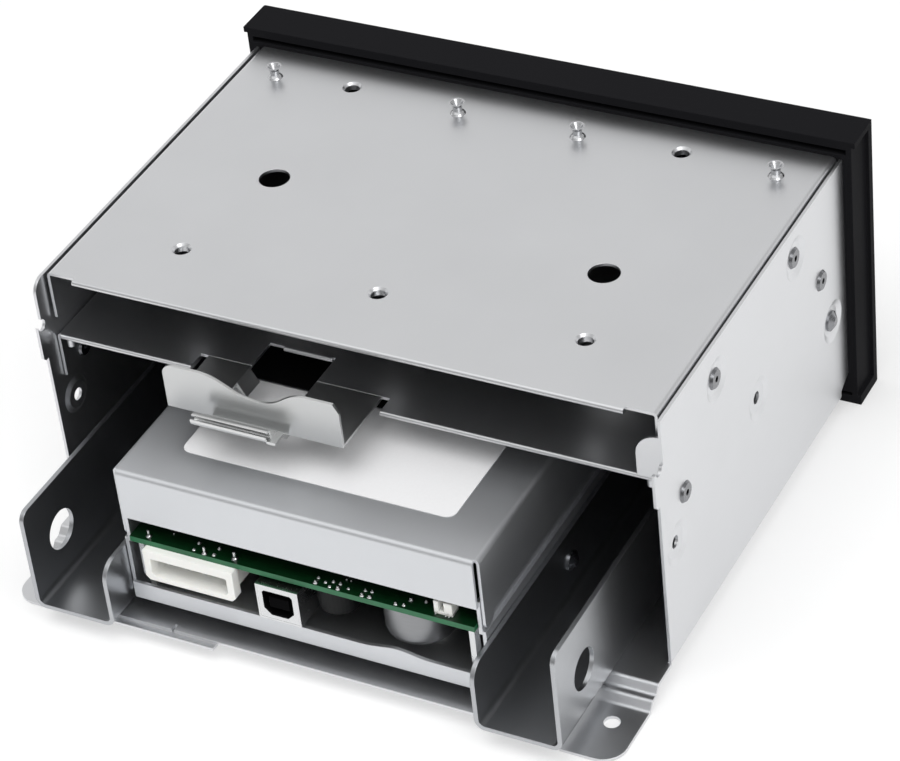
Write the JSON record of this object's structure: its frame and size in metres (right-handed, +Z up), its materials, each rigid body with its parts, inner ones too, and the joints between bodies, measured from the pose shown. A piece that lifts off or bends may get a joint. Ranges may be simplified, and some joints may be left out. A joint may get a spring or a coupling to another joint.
{
  "type": "removable disk drive",
  "caption": "Removable disk drive on side brackets in a folded sheet steel bay cage, with a front bezel, cartridge door, eject button and a wing-shaped spring latch.",
  "frame": {"origin": "centre of the width and depth, on the plane of the bezel's lower edge and the ears", "axes": "+Z up, -Y out of the bezel, +Y out of the open rear"},
  "size_m": [0.179, 0.168, 0.084],
  "materials": {
    "zinc_steel": "satin zinc-plated sheet",
    "bracket_steel": "satin plated sheet",
    "drive_steel": "satin plated sheet",
    "spring_steel": "bright spring steel",
    "fastener_steel": "bright plated",
    "bezel_plastic": "satin black moulding",
    "fascia_plastic": "fine textured black moulding",
    "cradle_plastic": "black moulding",
    "socket_black": "black moulding",
    "nylon_white": "natural nylon",
    "board_green": "green solder mask",
    "tinned_metal": "tinned",
    "can_aluminium": "plain drawn can",
    "chip_black": "moulded epoxy",
    "light_clear": "clear light guide",
    "label_paper": "coated white label"
  },
  "bodies": {
    "chassis": {"cage_base": "zinc_steel", "cage_cover": "zinc_steel", "divider_shelf": "zinc_steel", "hanger_studs": "fastener_steel", "cover_rivets": "fastener_steel", "shelf_rivets": "fastener_steel", "bracket_rivets": "fastener_steel", "bezel_screws": "fastener_steel", "drive_screws": "fastener_steel", "fascia_screws": "fastener_steel", "front_bezel": "bezel_plastic", "upper_bay_blank": "bezel_plastic", "bracket_left": "bracket_steel", "bracket_right": "bracket_steel", "drive_tray": "drive_steel", "drive_cover": "drive_steel", "circuit_board": "board_green", "board_standoffs": "tinned_metal", "board_header": "nylon_white", "board_parts": "chip_black", "power_connector": "nylon_white", "power_pins": "tinned_metal", "data_socket_shell": "tinned_metal", "data_socket_insert": "socket_black", "eject_motor": "can_aluminium", "docking_connector": "socket_black", "cartridge_cradle": "cradle_plastic", "drive_fascia": "fascia_plastic", "door_pin": "tinned_metal", "front_board": "board_green", "eject_switch": "chip_black", "light_pipes": "light_clear"},
    "release_latch": {"release_latch": "spring_steel", "latch_catch": "spring_steel", "catch_rivets": "fastener_steel"},
    "cartridge_door": {"cartridge_door": "fascia_plastic"},
    "eject_button": {"eject_button": "fascia_plastic"},
    "ejector_slide": {"ejector_slide": "nylon_white"}
  },
  "joints": [
    {"name": "latch_flex", "type": "hinge", "parent": "chassis", "child": "release_latch", "pos_m": [0.0179, 0.036, 0.0591], "axis": [-1, 0, 0], "range_deg": [0, 8], "stiffness_Nm_per_rad": 0.6, "springref_deg": -2.86},
    {"name": "door_swing", "type": "hinge", "parent": "chassis", "child": "cartridge_door", "pos_m": [0, -0.0796, 0.0426], "axis": [1, 0, 0], "range_deg": [0, 85], "stiffness_Nm_per_rad": 0.01, "springref_deg": -22.92},
    {"name": "button_press", "type": "slide", "parent": "chassis", "child": "eject_button", "axis": [0, 1, 0], "range_m": [0, 0.0012], "stiffness_N_per_m": 400, "springref_m": -0.0015},
    {"name": "ejector_travel", "type": "slide", "parent": "chassis", "child": "ejector_slide", "axis": [0, -1, 0], "range_m": [0, 0.014]}
  ]
}
